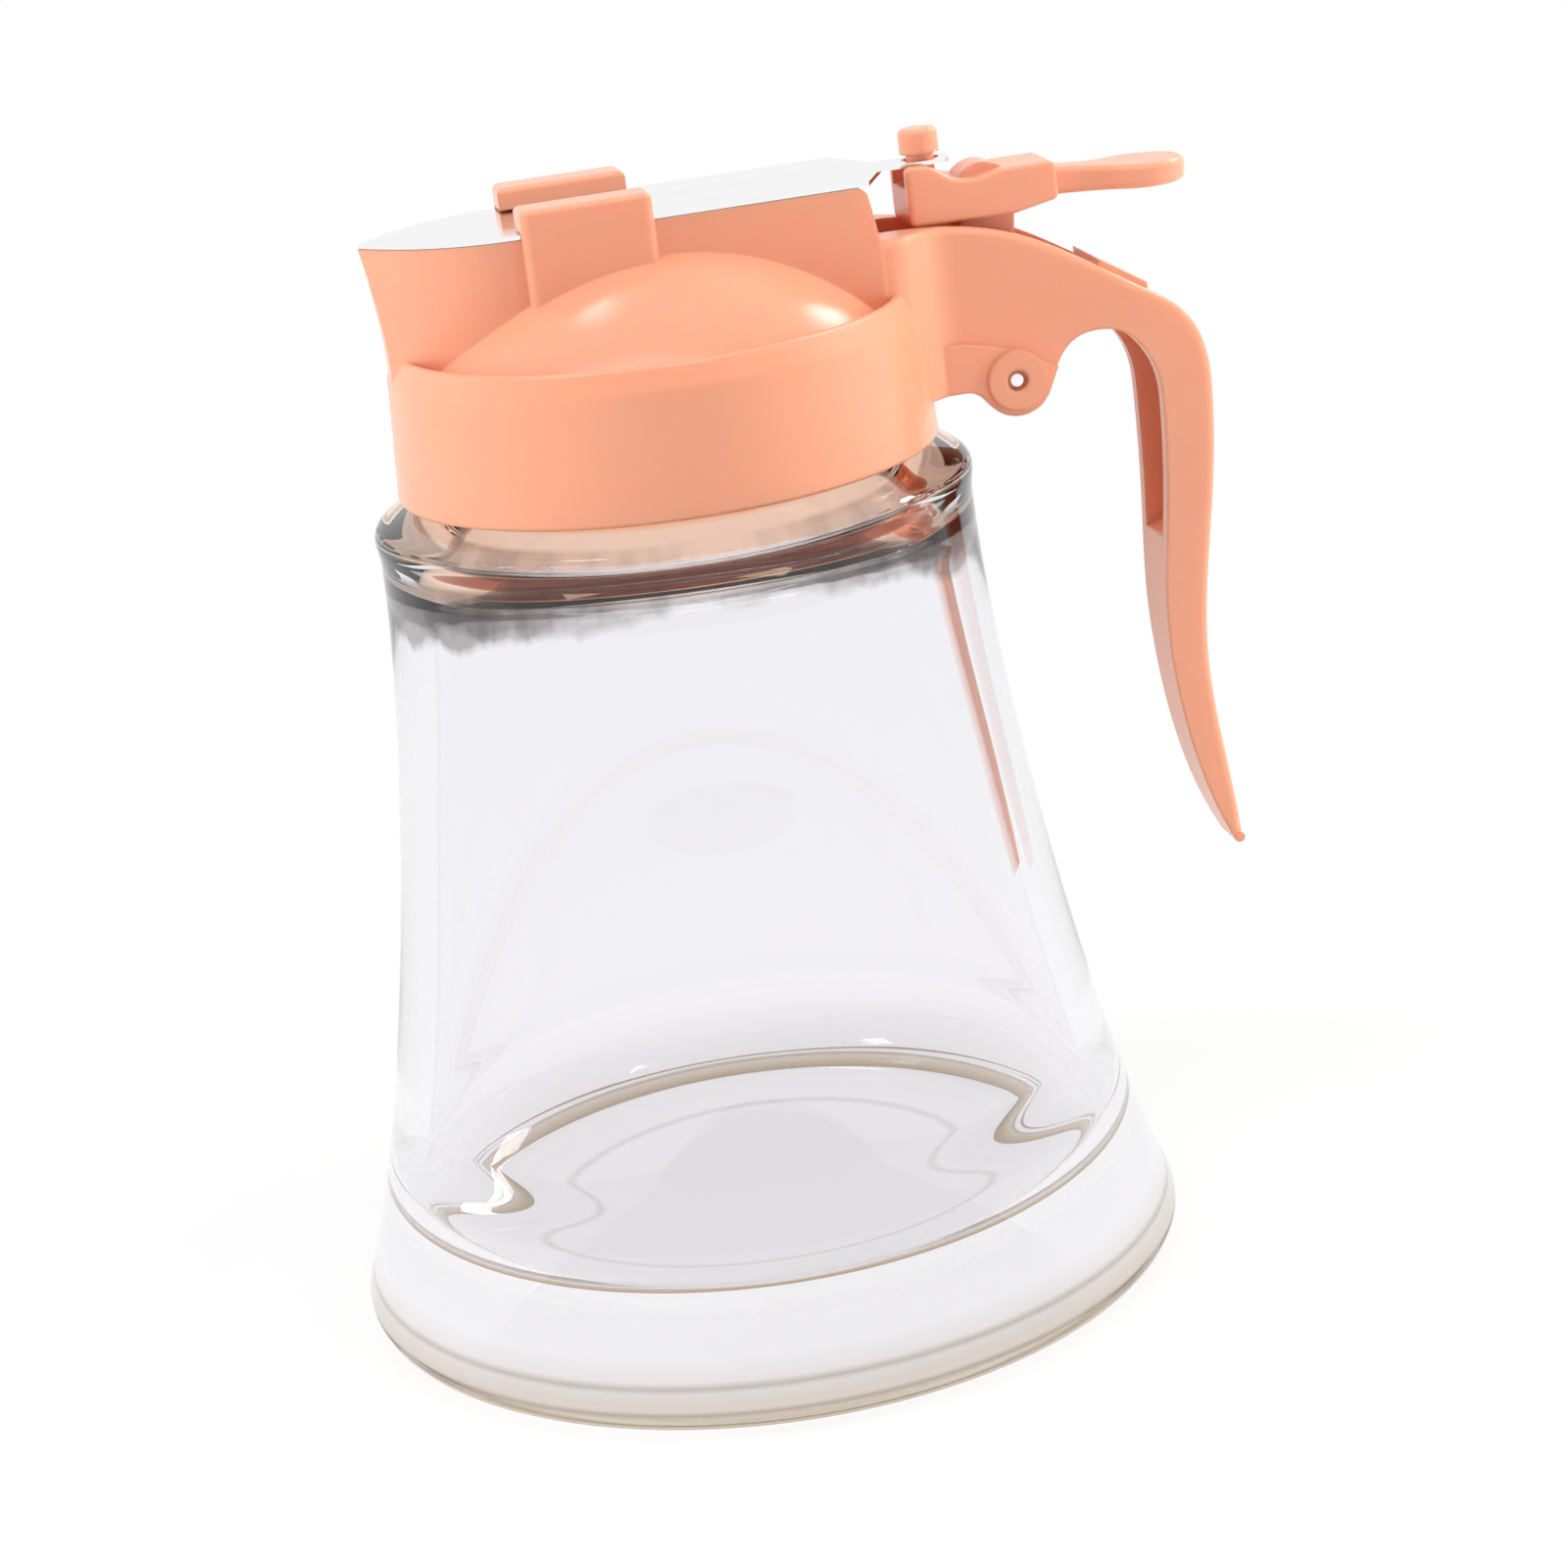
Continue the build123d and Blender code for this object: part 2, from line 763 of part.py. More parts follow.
return_spring.part.label = "return_spring"
export_step(return_spring.part, "parts/return_spring.step")

samples = 400
wire_points = [spring_wire @ (step / samples) for step in range(samples + 1)]
half_turn = pi * spring_coil_radius / spring_wire.length * samples
least_gap = min(
    (wire_points[b] - wire_points[a]).length - 2 * spring_wire_radius
    for a in range(samples + 1)
    for b in range(a + int(half_turn), samples + 1)
)
print("return spring: least gap to itself", round(least_gap, 3), "mm")


# Thumb lever: a block with two cheeks and a dip, a stem down to the hub, and an arm with a round pad
with BuildSketch(Plane.XZ) as block_side:
    with BuildLine():
        stem_front_reach = pivot_reach - stem_front_run
        stem_rear_reach = pivot_reach + stem_rear_run
        dip = Spline(
            (lever_front_reach + lever_top_length, lever_top_height),
            (pivot_reach - slope_run, blade_top_height - slope_drop),
            (pivot_reach - dip_run, blade_top_height - dip_drop),
            (stem_rear_reach, blade_top_height - lever_rear_drop),
            tangents=[(1, 0), (1, 0)],
        )
        FilletPolyline(
            dip @ 1,
            (lever_rear_reach, blade_top_height - lever_rear_drop),
            (lever_rear_reach, blade_top_height - lever_rear_bottom_drop),
            (stem_rear_reach, lever_bottom_height),
            (lever_front_reach, lever_bottom_height),
            (lever_front_reach, lever_top_height),
            dip @ 0,
            radius=lever_corner_rounding,
        )
    make_face()

with BuildSketch(Plane.XZ) as stem_side:
    with BuildLine():
        stem_front = Spline(
            (stem_front_reach, stem_top_height),
            (pivot_reach - stem_waist_half - stem_waist_shift, stem_waist_height),
            (pivot_reach - hub_radius, pivot_height),
            tangents=[(0.1, -1), (0, -1)],
        )
        stem_rear = Spline(
            (pivot_reach + hub_radius, pivot_height),
            (pivot_reach + stem_waist_half - stem_waist_shift, stem_waist_height),
            (stem_rear_reach, stem_top_height),
            tangents=[(0, 1), (0, 1)],
        )
        Line(stem_front @ 1, stem_rear @ 0)
        Line(stem_rear @ 1, stem_front @ 0)
    make_face()

with BuildPart() as arm_form:
    with BuildSketch(Plane.XZ):
        with BuildLine():
            pad_end = pad_reach + pad_radius
            neck_reach = pad_reach - pad_radius - arm_neck_length
            arm_start = lever_rear_reach - arm_lap
            arm_bottom = Spline(
                (arm_start, blade_top_height - arm_bottom_drop),
                (pad_reach, pad_bottom_height),
                (pad_end, pad_bottom_height),
            )
            arm_top = Spline(
                (pad_end, pad_top_height),
                (pad_reach, pad_top_height),
                (arm_start, blade_top_height - arm_root_drop),
            )
            Line(arm_bottom @ 1, arm_top @ 0)
            Line(arm_top @ 1, arm_bottom @ 0)
        make_face()
    extrude(amount=pad_radius, both=True)
    with BuildSketch(Plane.XY.offset(lever_bottom_height)):
        with BuildLine():
            arm_edge = Line((arm_start, arm_half_width), (neck_reach, arm_half_width))
            pad_edge = CenterArc(
                (pad_reach, 0),
                pad_radius,
                start_angle=pad_shoulder_angle,
                arc_size=-pad_shoulder_angle,
            )
            Spline(arm_edge @ 1, pad_edge @ 0, tangents=[(1, 0), pad_edge % 0])
            Line((arm_start, 0), arm_edge @ 0)
            mirror(about=Plane.XZ)
        make_face()
    extrude(amount=blade_top_height - lever_bottom_height, mode=Mode.INTERSECT)
    fillet(
        arm_form.faces().sort_by(Axis.Z)[-1].edges() + arm_form.faces().sort_by(Axis.Z)[0].edges(),
        radius=pad_rounding,
    )

with BuildPart() as thumb_lever:
    extrude(block_side.sketch, amount=lever_half_width, both=True)
    fillet(
        thumb_lever.faces().sort_by(Axis.Y)[0].edges() + thumb_lever.faces().sort_by(Axis.Y)[-1].edges(),
        radius=lever_edge_rounding,
    )
    with BuildSketch(Plane.XZ):
        with Locations(pivot):
            Rectangle(
                lever_front_run + lever_half_width,
                2 * recess_arc_radius,
                align=(Align.MAX, Align.MIN),
            )
            Circle(recess_arc_radius, mode=Mode.SUBTRACT)
        with Locations((pivot_reach - recess_rear_run, pivot_height)):
            Rectangle(
                lever_front_run,
                2 * recess_arc_radius,
                align=(Align.MIN, Align.MIN),
                mode=Mode.SUBTRACT,
            )
    extrude(amount=recess_half_width, both=True, mode=Mode.SUBTRACT)
    extrude(stem_side.sketch, amount=stem_half_width, both=True)
    with BuildSketch(Plane.XZ.offset(hub_inner_gap)):
        with Locations(pivot):
            Circle(hub_radius)
    extrude(amount=-hub_outer_y - hub_inner_gap)
    with BuildSketch(Plane.XZ.offset(hub_inner_gap)):
        with Locations(pivot):
            Circle(stem_waist_rise)
    extrude(amount=-lever_half_width - hub_inner_gap, mode=Mode.SUBTRACT)
    with BuildSketch(Plane.XZ):
        with Locations(pivot):
            Circle(pin_radius + hub_fit)
    extrude(amount=lever_half_width, both=True, mode=Mode.SUBTRACT)
    add(arm_form.part)
    with BuildSketch(Plane.XZ):
        with Locations((pivot_reach - hump_run, blade_top_height - hump_drop - hump_radius)):
            Circle(hump_radius)
    extrude(amount=hump_half_width, both=True)
    with BuildSketch(Plane.XY.offset(lever_top_height)):
        with Locations((peg_reach, 0)):
            Circle(peg_neck_radius + peg_fit)
    extrude(amount=peg_foot_height - lever_top_height, mode=Mode.SUBTRACT)
thumb_lever.part.label = "thumb_lever"
export_step(thumb_lever.part, "parts/thumb_lever.step")


# Peg: pressed into the lever, with a head over the blade
with BuildPart() as blade_peg:
    with BuildSketch(Plane.XZ):
        with BuildLine():
            Polyline(
                (peg_reach, peg_foot_height),
                (peg_reach + peg_neck_radius, peg_foot_height),
                (peg_reach + peg_neck_radius, peg_head_bottom_height),
                (peg_reach + peg_head_radius, peg_head_bottom_height),
                (peg_reach + peg_head_radius, peg_head_height),
                (peg_reach, peg_head_height),
                close=True,
            )
        make_face()
    revolve(axis=Axis((peg_reach, 0, 0), (0, 0, 1)))
    fillet(blade_peg.edges().group_by(Axis.Z)[-1], radius=peg_head_rounding)
blade_peg.part.label = "blade_peg"
export_step(blade_peg.part, "parts/blade_peg.step")


# Cutter blade: a thin strip with the beak's plan at its front and a slotted tail over the peg
with BuildPart() as cutter_blade:
    with BuildSketch(Plane.XY.offset(blade_bottom_height)):
        with BuildLine():
            tail_end = peg_reach + slot_length / 2 + tail_end_gap
            edge = Line((blade_shoulder_start, blade_half_width), (-beak_start_reach, blade_half_width))
            Spline(
                edge @ 1,
                (-beak_low_reach, beak_low_half_width - blade_inset),
                (-beak_high_reach, beak_high_half_width - blade_inset),
                (-beak_tip_reach + blade_inset, 0),
            )
            Polyline(
                edge @ 0,
                (blade_shoulder_end, tail_width / 2),
                (tail_end, tail_width / 2),
                (tail_end, 0),
            )
            mirror(about=Plane.XZ)
        make_face()
        with Locations((peg_reach, 0)):
            SlotOverall(slot_length, 2 * (peg_neck_radius + slot_side_gap), mode=Mode.SUBTRACT)
    extrude(amount=blade_thickness)
    fillet(cutter_blade.edges().filter_by(Axis.Z).group_by(Axis.X)[-1], radius=tail_width / 3)
cutter_blade.part.label = "cutter_blade"
export_step(cutter_blade.part, "parts/cutter_blade.step")
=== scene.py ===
from math import cos, pi, radians, sin

import bmesh
import bpy
from mathutils import Matrix, Vector


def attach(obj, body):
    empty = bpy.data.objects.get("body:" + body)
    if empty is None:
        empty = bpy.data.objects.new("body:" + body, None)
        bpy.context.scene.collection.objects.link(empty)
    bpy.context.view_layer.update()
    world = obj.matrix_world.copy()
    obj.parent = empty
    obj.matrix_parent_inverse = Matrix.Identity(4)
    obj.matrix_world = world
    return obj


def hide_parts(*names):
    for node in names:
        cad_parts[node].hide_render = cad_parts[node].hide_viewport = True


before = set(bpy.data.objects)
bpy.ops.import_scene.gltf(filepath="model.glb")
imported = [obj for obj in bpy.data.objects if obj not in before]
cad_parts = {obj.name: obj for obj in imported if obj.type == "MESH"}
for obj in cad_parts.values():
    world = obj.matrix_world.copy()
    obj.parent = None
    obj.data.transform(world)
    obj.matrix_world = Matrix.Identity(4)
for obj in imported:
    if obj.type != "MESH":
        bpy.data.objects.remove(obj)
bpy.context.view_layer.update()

MM = 0.001
scene = bpy.context.scene
scene.view_settings.view_transform = "Standard"


# Camera, at the photograph's viewing angle and with its lean
CAMERA_ELEVATION = radians(17.55)
CAMERA_AZIMUTH = radians(9.1)
CAMERA_ROLL = radians(-7.35)
CAMERA_DISTANCE = 374.0 * MM
CAMERA_TARGET = Vector((7.05, 0.0, 49.4)) * MM
CLIP_START, CLIP_END = 0.01, 20.0
FOCAL_PIXELS = 3850.0
IMAGE_PIXELS = 1600.0
SENSOR_WIDTH = 36.0


def build_camera():
    forward = Vector((0, cos(CAMERA_ELEVATION), -sin(CAMERA_ELEVATION)))
    across = Vector((1, 0, 0))
    upward = across.cross(forward)
    place = CAMERA_TARGET - CAMERA_DISTANCE * forward
    right = cos(CAMERA_ROLL) * across + sin(CAMERA_ROLL) * upward
    up = cos(CAMERA_ROLL) * upward - sin(CAMERA_ROLL) * across
    turn = Matrix.Rotation(-CAMERA_AZIMUTH, 3, "Z")
    axes = Matrix((turn @ right, turn @ up, turn @ -forward)).transposed()
    data = bpy.data.cameras.new("camera")
    data.sensor_width = SENSOR_WIDTH
    data.lens = FOCAL_PIXELS / IMAGE_PIXELS * SENSOR_WIDTH
    data.clip_start = CLIP_START
    data.clip_end = CLIP_END
    camera = bpy.data.objects.new("camera", data)
    camera.matrix_world = Matrix.Translation(turn @ place) @ axes.to_4x4()
    scene.collection.objects.link(camera)
    scene.camera = camera


# Node helpers for the procedural materials
def new_material(name):
    material = bpy.data.materials.new(name)
    material.use_nodes = True
    nodes = material.node_tree.nodes
    return material, nodes, material.node_tree.links, nodes["Principled BSDF"]


def feed(links, socket, value):
    """Set a socket to a plain value, or link another node's output to it."""
    if isinstance(value, (int, float, tuple)):
        socket.default_value = value
    else:
        links.new(value, socket)


def set_sockets(shader, values):
    for name, value in values.items():
        shader.inputs[name].default_value = value


def grey(value):
    return (value, value, value, 1.0)


def noise(nodes, links, scale, detail, stretch=(1, 1, 1)):
    place = nodes.new("ShaderNodeTexCoord")
    mapping = nodes.new("ShaderNodeMapping")
    mapping.inputs["Scale"].default_value = stretch
    texture = nodes.new("ShaderNodeTexNoise")
    texture.inputs["Scale"].default_value = scale
    texture.inputs["Detail"].default_value = detail
    links.new(place.outputs["Object"], mapping.inputs["Vector"])
    links.new(mapping.outputs["Vector"], texture.inputs["Vector"])
    return texture.outputs["Fac"]


def colour_stops(nodes, links, source, stops):
    """Colours along a value from nought to one."""
    node = nodes.new("ShaderNodeValToRGB")
    elements = node.color_ramp.elements
    for position, colour in stops[1:-1]:
        elements.new(position).color = colour
    elements[0].position, elements[0].color = stops[0]
    elements[-1].position, elements[-1].color = stops[-1]
    links.new(source, node.inputs["Fac"])
    return node.outputs["Color"]


def mixed(nodes, links, share, first, second):
    """The first colour where share is nought, and the second where it is one."""
    node = nodes.new("ShaderNodeMixRGB")
    for socket, value in (("Fac", share), ("Color1", first), ("Color2", second)):
        feed(links, node.inputs[socket], value)
    return node.outputs["Color"]


def maths(nodes, links, operation, *values):
    """One step of arithmetic on numbers or sockets."""
    node = nodes.new("ShaderNodeMath")
    node.operation = operation
    for socket, value in zip(node.inputs, values):
        feed(links, socket, value)
    return node.outputs["Value"]


def map_range(nodes, links, value, start, end, low=0.0, high=1.0, smooth=True):
    """From low to high while the value goes from start to end."""
    node = nodes.new("ShaderNodeMapRange")
    node.interpolation_type = "SMOOTHSTEP" if smooth else "LINEAR"
    limits = {"Value": value, "From Min": start, "From Max": end, "To Min": low, "To Max": high}
    for name, limit in limits.items():
        feed(links, node.inputs[name], limit)
    return node.outputs["Result"]


def shader_mix(nodes, links, share, first, second):
    """Finish a material with two shaders, the second one by the given share."""
    mix = nodes.new("ShaderNodeMixShader")
    links.new(share, mix.inputs["Fac"])
    links.new(first, mix.inputs[1])
    links.new(second, mix.inputs[2])
    links.new(mix.outputs["Shader"], nodes["Material Output"].inputs["Surface"])


def bump(nodes, links, shader, height, strength, distance, edge=0.0, edge_samples=4):
    """A fine relief from height, on a normal whose sharp edges are rounded over edge metres."""
    node = nodes.new("ShaderNodeBump")
    if edge:
        bevel = nodes.new("ShaderNodeBevel")
        bevel.samples = edge_samples
        bevel.inputs["Radius"].default_value = edge
        links.new(bevel.outputs["Normal"], node.inputs["Normal"])
    node.inputs["Strength"].default_value = strength
    node.inputs["Distance"].default_value = distance
    links.new(height, node.inputs["Height"])
    links.new(node.outputs["Normal"], shader.inputs["Normal"])


# Materials: peach plastic, steel, silicone and glass
def peach_plastic(name):
    """Semi-gloss moulded plastic, a little translucent, with faint flow marks and handling haze."""
    material, nodes, links, shader = new_material(name)
    flow = noise(nodes, links, scale=38.0, detail=3.0, stretch=(1.0, 1.0, 2.6))
    shades = [(0.3, (0.895, 0.380, 0.232, 1)), (0.7, (0.915, 0.402, 0.250, 1))]
    links.new(colour_stops(nodes, links, flow, shades), shader.inputs["Base Color"])
    haze = noise(nodes, links, scale=260.0, detail=4.0)
    sheen = [(0.35, grey(0.22)), (0.7, grey(0.27))]
    links.new(colour_stops(nodes, links, haze, sheen), shader.inputs["Roughness"])
    skin = noise(nodes, links, scale=900.0, detail=2.0)
    bump(nodes, links, shader, skin, strength=0.04, distance=0.2 * MM, edge=0.5 * MM)
    set_sockets(shader, {
        "IOR": 1.49,
        "Subsurface Weight": 0.3,
        "Subsurface Radius": (1.0, 0.36, 0.2),
        "Subsurface Scale": 2 * MM,
    })
    return material


def steel(name):
    """Cold-rolled stainless strip with fine lengthwise grain."""
    material, nodes, links, shader = new_material(name)
    grain = noise(nodes, links, scale=60.0, detail=5.0, stretch=(1.0, 40.0, 40.0))
    shades = [(0.3, (0.90, 0.90, 0.91, 1)), (0.7, (0.97, 0.97, 0.975, 1))]
    links.new(colour_stops(nodes, links, grain, shades), shader.inputs["Base Color"])
    sheen = [(0.3, grey(0.10)), (0.7, grey(0.18))]
    links.new(colour_stops(nodes, links, grain, sheen), shader.inputs["Roughness"])
    bump(nodes, links, shader, grain, strength=0.06, distance=0.1 * MM)
    set_sockets(shader, {"Metallic": 1.0})
    return material


def silicone(name):
    """Soft translucent gasket rubber."""
    material, nodes, links, shader = new_material(name)
    dust = noise(nodes, links, scale=500.0, detail=4.0)
    shades = [(0.35, (0.78, 0.78, 0.75, 1)), (0.65, (0.88, 0.88, 0.86, 1))]
    links.new(colour_stops(nodes, links, dust, shades), shader.inputs["Base Color"])
    bump(nodes, links, shader, dust, strength=0.1, distance=0.1 * MM)
    set_sockets(shader, {
        "Roughness": 0.55,
        "Subsurface Weight": 0.4,
        "Subsurface Radius": (1.0, 1.0, 1.0),
        "Subsurface Scale": 2 * MM,
    })
    return material


# Tones of the jar's glass and of the reflections painted on it, and the heights and radii where they
# change, in metres
GLASS_TINT = (0.966, 0.962, 0.974, 1)
# Painted reflection: a ragged dark grey band under the bead, standing for the surroundings mirrored in the
# thick glass there.
REFLECTION_BAND_STOPS = [(0.1, (0.24, 0.22, 0.22, 1)), (0.9, (0.84, 0.82, 0.82, 1))]
REFLECTION_BAND_TOP = 78.3 * MM
REFLECTION_BAND_FOOT = 72.2 * MM
REFLECTION_BAND_RAGGED = 7.0 * MM
REFLECTION_BAND_EDGE = 0.5 * MM
REFLECTION_BAND_BOW = -5.4
REFLECTION_BAND_CENTRE_TONE = 0.35
REFLECTION_BAND_SIDE_TONE = 34.0
# Painted reflection: the lid's peach, seen in the glass just below it.
LID_REFLECTION_TINT = (0.97, 0.50, 0.30, 1)
LID_REFLECTION_FOOT, LID_REFLECTION_TOP = 80.4 * MM, 83.8 * MM
FLOOR_TINT = (0.80, 0.79, 0.80, 1)
FLOOR_TINT_RADIUS = 35.5 * MM
FLOOR_TINT_FADE, FLOOR_TINT_FULL = 15.0 * MM, 7.0 * MM
# Painted refraction: a darker ring on the inner floor, standing for the floor's far edge seen through the
# glass.
REFRACTED_RING_TINT = (0.56, 0.52, 0.50, 1)
RING_INNER, RING_OUTER, RING_EDGE = 22.0 * MM, 23.0 * MM, 0.6 * MM
RING_FOOT, RING_TOP = 6.4 * MM, 7.6 * MM
# Painted reflection: brownish stripes at the heel, standing for the shade under the foot refracted in the
# glass.
HEEL_REFLECTION_RADIUS = 36.5 * MM
HEEL_REFLECTION_TOP = 7.5 * MM
HEEL_REFLECTION_STOPS = [
    (0.0, (0.25, 0.15, 0.08, 1)), (0.12, (0.42, 0.30, 0.18, 1)), (0.26, (0.54, 0.42, 0.30, 1)),
    (0.32, (0.24, 0.17, 0.11, 1)), (0.38, (0.57, 0.47, 0.37, 1)), (0.58, (0.70, 0.62, 0.54, 1)),
    (0.64, (0.38, 0.31, 0.26, 1)), (0.72, (0.82, 0.78, 0.75, 1)), (1.0, GLASS_TINT),
]
TINT_EDGE = 0.4 * MM


def glass_colour(nodes, links):
    """Faint grey, with painted reflections: a dark band under the bead, the lid's peach just below it,
    brownish stripes at the heel and a darker ring on the inner floor; greyer on the floor.
    """
    def calculate(operation, *values):
        return maths(nodes, links, operation, *values)

    def from_level(value, level, edge=TINT_EDGE):
        return map_range(nodes, links, value, level - edge, level + edge)

    def up_to(value, level, edge=TINT_EDGE):
        return map_range(nodes, links, value, level + edge, level - edge)

    def between(value, low, high, edge=TINT_EDGE):
        return calculate("MULTIPLY", from_level(value, low, edge), up_to(value, high, edge))

    place = nodes.new("ShaderNodeTexCoord")
    axes = nodes.new("ShaderNodeSeparateXYZ")
    links.new(place.outputs["Object"], axes.inputs["Vector"])
    across, deep, height = (axes.outputs[name] for name in "XYZ")
    across_squared = calculate("MULTIPLY", across, across)
    deep_squared = calculate("MULTIPLY", deep, deep)
    radius = calculate("SQRT", calculate("ADD", across_squared, deep_squared))

    # Painted reflection at the heel: brownish stripes by height.
    heel_reflections = colour_stops(nodes, links, calculate("DIVIDE", height, HEEL_REFLECTION_TOP), HEEL_REFLECTION_STOPS)
    colour = mixed(nodes, links, from_level(radius, HEEL_REFLECTION_RADIUS), GLASS_TINT, heel_reflections)

    # Painted reflection: the ragged dark band under the bead.
    ragged = noise(nodes, links, scale=150.0, detail=6.0, stretch=(1.0, 1.0, 0.35))
    streaks = noise(nodes, links, scale=420.0, detail=3.0, stretch=(1.0, 1.0, 0.05))
    foot = calculate("MULTIPLY_ADD", across_squared, REFLECTION_BAND_BOW, REFLECTION_BAND_FOOT)
    foot = calculate("MULTIPLY_ADD", ragged, REFLECTION_BAND_RAGGED, foot)
    side = calculate("MULTIPLY", calculate("ABSOLUTE", across), REFLECTION_BAND_SIDE_TONE)
    tone = calculate("SUBTRACT", calculate("ADD", streaks, REFLECTION_BAND_CENTRE_TONE), side)
    above = map_range(
        nodes, links, calculate("SUBTRACT", height, foot), -REFLECTION_BAND_EDGE, REFLECTION_BAND_EDGE, smooth=False
    )
    band = calculate("MULTIPLY", above, up_to(height, REFLECTION_BAND_TOP))
    colour = mixed(nodes, links, band, colour, colour_stops(nodes, links, tone, REFLECTION_BAND_STOPS))

    # Painted reflection of the lid's peach, just below it.
    lid_reflection = between(height, LID_REFLECTION_FOOT, LID_REFLECTION_TOP)
    colour = mixed(nodes, links, lid_reflection, colour, LID_REFLECTION_TINT)

    low = map_range(nodes, links, height, FLOOR_TINT_FADE, FLOOR_TINT_FULL)
    floor = calculate("MULTIPLY", low, up_to(radius, FLOOR_TINT_RADIUS))
    colour = mixed(nodes, links, floor, colour, FLOOR_TINT)
    # Painted refraction: the darker ring on the inner floor.
    ring = calculate(
        "MULTIPLY",
        between(radius, RING_INNER, RING_OUTER, RING_EDGE),
        between(height, RING_FOOT, RING_TOP),
    )
    return mixed(nodes, links, ring, colour, REFRACTED_RING_TINT)


def clear_glass(name, ior=1.5, tinted=True, shadow_clearness=0.85):
    """Pressed soda glass with slow mould waves, which lets most light through to its shadow."""
    material, nodes, links, shader = new_material(name)
    wave = noise(nodes, links, scale=28.0, detail=2.0, stretch=(1.0, 1.0, 0.5))
    bump(nodes, links, shader, wave, strength=0.04, distance=1 * MM)
    colour = glass_colour(nodes, links) if tinted else GLASS_TINT
    feed(links, shader.inputs["Base Color"], colour)
    set_sockets(shader, {"Roughness": 0.0, "IOR": ior, "Transmission Weight": 1.0})
    path = nodes.new("ShaderNodeLightPath")
    share = maths(nodes, links, "MULTIPLY", path.outputs["Is Shadow Ray"], shadow_clearness)
    clear = nodes.new("ShaderNodeBsdfTransparent")
    shader_mix(nodes, links, share, shader.outputs["BSDF"], clear.outputs["BSDF"])
    return material


# Outline and mesh helpers
def curve_through(points, first, last, steps):
    """Points on smooth curves through the given ones, leaving and arriving along first and last."""
    spans = [(Vector(b) - Vector(a)).length for a, b in zip(points, points[1:])]
    headings = [Vector(first).normalized()]
    for before, after in zip(points, points[2:]):
        headings.append((Vector(after) - Vector(before)).normalized())
    headings.append(Vector(last).normalized())
    outline = []
    for index, span in enumerate(spans):
        start, end = Vector(points[index]), Vector(points[index + 1])
        leave, arrive = headings[index] * span, headings[index + 1] * span
        for step in range(steps):
            t = step / steps
            outline.append(
                (2 * t**3 - 3 * t**2 + 1) * start + (t**3 - 2 * t**2 + t) * leave
                + (3 * t**2 - 2 * t**3) * end + (t**3 - t**2) * arrive
            )
    return outline + [Vector(points[-1])]


def rounded(points, radius, steps=5):
    """The same corners, each one rounded by an arc-like curve that starts radius before it."""
    outline = [Vector(points[0])]
    for before, corner, after in zip(points, points[1:], points[2:]):
        before, corner, after = Vector(before), Vector(corner), Vector(after)
        start = corner + (before - corner).normalized() * min(radius, (before - corner).length / 2)
        end = corner + (after - corner).normalized() * min(radius, (after - corner).length / 2)
        for step in range(steps + 1):
            t = step / steps
            outline.append((1 - t) ** 2 * start + 2 * t * (1 - t) * corner + t**2 * end)
    return outline + [Vector(points[-1])]


def on_cylinder(radius, angle, height):
    """A place in metres, from a radius and height in millimetres."""
    return (radius * MM * cos(angle), radius * MM * sin(angle), height * MM)


def object_from(name, work):
    """A smooth object from a bmesh, with its faces turned outward."""
    bmesh.ops.recalc_face_normals(work, faces=work.faces)
    for face in work.faces:
        face.smooth = True
    mesh = bpy.data.meshes.new(name)
    work.to_mesh(mesh)
    work.free()
    piece = bpy.data.objects.new(name, mesh)
    scene.collection.objects.link(piece)
    return piece


def lathe(name, outline, segments=192, axis_radius=0.001):
    """A surface turned round the jar's axis from points of radius and height in millimetres."""
    work = bmesh.new()
    angles = [2 * pi * step / segments for step in range(segments)]
    rings = []
    for radius, height in outline:
        if radius < axis_radius:
            rings.append([work.verts.new((0, 0, height * MM))])
        else:
            rings.append([work.verts.new(on_cylinder(radius, angle, height)) for angle in angles])
    for lower, upper in zip(rings, rings[1:]):
        for step in range(segments):
            after = (step + 1) % segments
            corners = [
                lower[step % len(lower)], lower[after % len(lower)],
                upper[after % len(upper)], upper[step % len(upper)],
            ]
            corners = list(dict.fromkeys(corners))
            if len(corners) > 2:
                work.faces.new(corners)
    return object_from(name, work)


# Jar sizes, in millimetres, the same as the solid's; points are a radius and a height
PUNT_HEIGHT = 1.8
STANDING_RADIUS = 33.5
FOOT_RADIUS = 39.0
HEEL_ROUNDING = 2.5
HEEL_SWEEP = 110
HEEL_STEPS = 8
OUTER_WALL = [(36.1, 22.0), (31.2, 50.0)]
WAIST = (28.8, 78.0)
BEAD = (29.15, 80.2)
BEAD_TOP = (28.25, 81.2)
SHOULDER = (25.2, 82.4)
SHOULDER_ROUNDING = 0.8
NECK_RADIUS = 23.0
NECK_FOOT = 83.5
NECK_HEIGHT = 92.7
MOUTH_RADIUS = 20.0
INNER_WALL = [(25.0, 73.0), (27.4, 50.0), (32.3, 22.0), (35.1, 14.5)]
FLOOR_RADIUS = 28.5
FLOOR_HEIGHT = 7.0
THREAD_PITCH = 4.0
THREAD_START = 85.5
THREAD_DEPTH = 0.8
THREAD_BURIED = 0.05
THREAD_HALF_FOOT, THREAD_HALF_BASE, THREAD_HALF_CREST = 0.65, 0.585, 0.2275
THREAD_ANGLE = 0.3
NECK_TURNS, SKIRT_TURNS = 1.4, 1.25
SKIRT_RADIUS = 24.2


